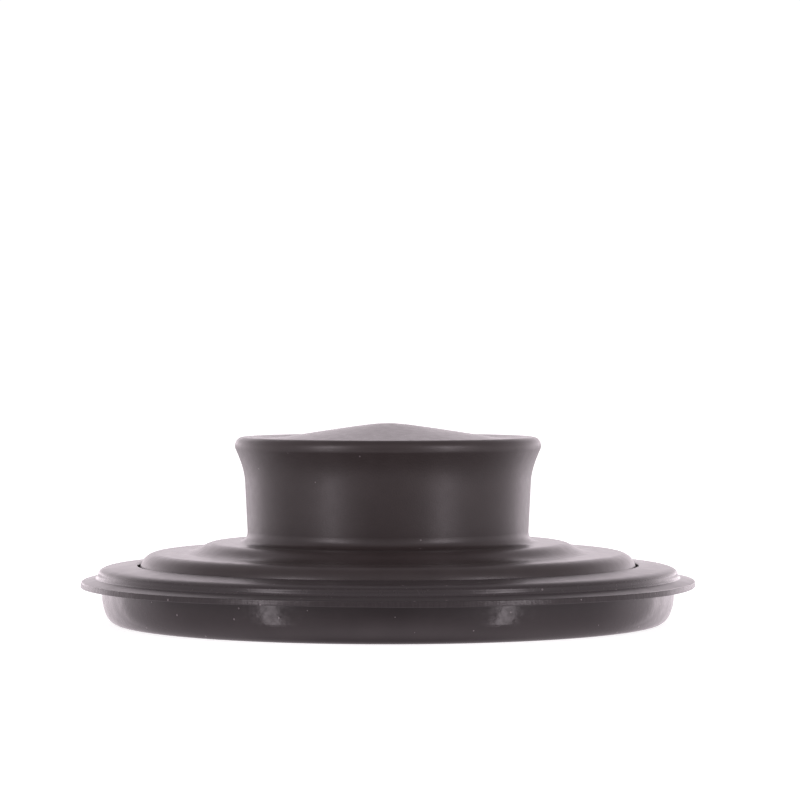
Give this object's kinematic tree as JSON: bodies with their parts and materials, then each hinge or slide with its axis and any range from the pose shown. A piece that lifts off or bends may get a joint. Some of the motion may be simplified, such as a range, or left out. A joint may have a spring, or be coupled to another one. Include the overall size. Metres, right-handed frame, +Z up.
{
  "type": "sink stopper",
  "caption": "Drop-in drain stopper: hollow waisted metal knob with a stepped, flared skirt, screwed to a rubber plug that has a thin flat sealing fin.",
  "frame": {"origin": "on the axis, in the flat underside of the rubber plug that the stopper stands on", "axes": "+Z up along the axis of revolution, from the plug to the knob; X and Y are free, the part is round"},
  "size_m": [0.086, 0.086, 0.0278],
  "materials": {
    "matte_black_coat": "matte, fine-grained",
    "black_nylon": "moulded, dull",
    "brass": "turned",
    "black_rubber": "satin",
    "stainless": "pressed, lightly brushed"
  },
  "bodies": {
    "root": {"knob_shell": "matte_black_coat", "knob_core": "black_nylon", "threaded_insert": "brass", "support_disc": "black_nylon", "seal": "black_rubber", "backing_plate": "stainless", "spring_washer": "stainless", "retaining_screw": "stainless"}
  },
  "joints": []
}
